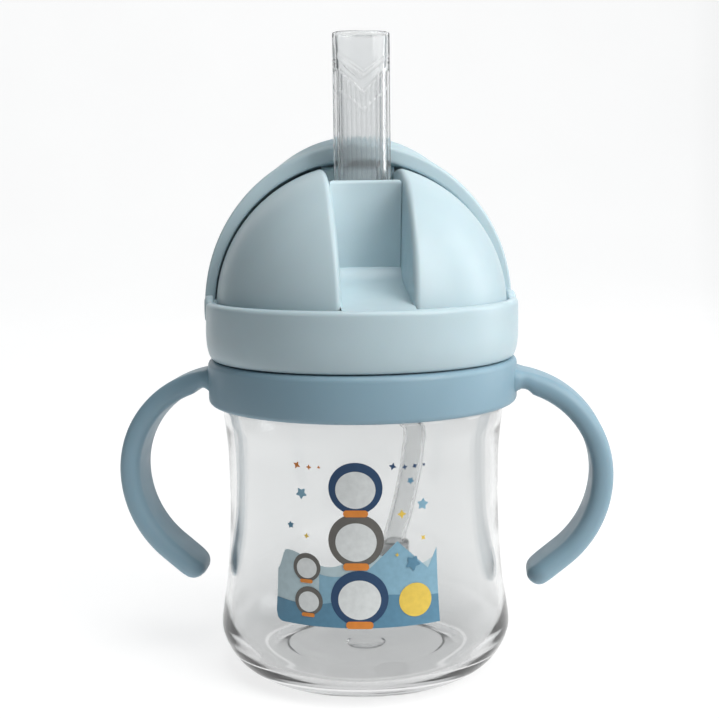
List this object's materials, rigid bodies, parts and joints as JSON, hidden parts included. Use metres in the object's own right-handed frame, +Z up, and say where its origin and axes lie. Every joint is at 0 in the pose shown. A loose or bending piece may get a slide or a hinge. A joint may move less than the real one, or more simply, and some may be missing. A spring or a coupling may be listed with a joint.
{
  "type": "sippy cup",
  "caption": "Clear straw-type sippy cup with a loose two-handle ring, a screw lid, a round slide cover, a folding soft nozzle and a weighted inner hose.",
  "frame": {"origin": "centre of the foot, on the plane the cup stands on", "axes": "+Z up, along the straw; the drinking side of the lid faces -Y; the cover's hinge line runs along X"},
  "size_m": [0.1244, 0.0799, 0.1573],
  "materials": {
    "clear_bottle": "clear, polished copolyester",
    "clear_silicone": "translucent soft silicone",
    "pale_plastic": "satin moulded polypropylene, pale blue",
    "blue_plastic": "satin moulded polypropylene, grey blue",
    "white_plastic": "natural polypropylene",
    "steel": "turned stainless steel"
  },
  "bodies": {
    "bottle": {"bottle": "clear_bottle"},
    "ring": {"handle_ring": "blue_plastic", "handle_left": "blue_plastic", "handle_right": "blue_plastic"},
    "seal": {"gasket": "clear_silicone"},
    "lid": {"lid_band": "pale_plastic", "dome": "pale_plastic", "straw_post": "pale_plastic", "nozzle_base": "clear_silicone", "nozzle_bend": "clear_silicone", "connector": "white_plastic", "vent_valve": "clear_silicone"},
    "cover": {"slide_cover": "pale_plastic"},
    "nozzle": {"nozzle_tip": "clear_silicone"},
    "sinker": {"hose": "clear_silicone", "sinker_cap": "white_plastic", "sinker_base": "white_plastic", "sinker_core": "steel"}
  },
  "joints": [
    {"name": "ring_turn", "type": "hinge", "parent": "bottle", "child": "ring", "pos_m": [0, 0, 0.073], "axis": [0, 0, 1], "continuous": true},
    {"name": "lid_rise", "type": "slide", "parent": "bottle", "child": "seal", "axis": [0, 0, 1], "range_m": [0, 0.00625]},
    {"name": "lid_turn", "type": "hinge", "parent": "seal", "child": "lid", "pos_m": [0, 0, 0.079], "axis": [0, 0, 1], "range_deg": [0, 450]},
    {"name": "cover_slide", "type": "hinge", "parent": "lid", "child": "cover", "pos_m": [0, 0, 0.091], "axis": [1, 0, 0], "range_deg": [0, 90]},
    {"name": "straw_fold", "type": "hinge", "parent": "lid", "child": "nozzle", "pos_m": [0, -0.00935, 0.12404], "axis": [1, 0, 0], "range_deg": [0, 146.5], "deforming": ["nozzle_tip", "nozzle_bend"]},
    {"name": "straw_swing", "type": "hinge", "parent": "lid", "child": "sinker", "pos_m": [0, -0.0055, 0.084], "axis": [1, 0, 0], "range_deg": [-15, 15], "deforming": ["hose"]}
  ],
  "couplings": [
    {"joint": "lid_rise", "follows": "lid_turn", "m_per_rad": 0.00079577},
    {"joint": "straw_fold", "follows": "cover_slide", "ratio": 1.6222}
  ]
}
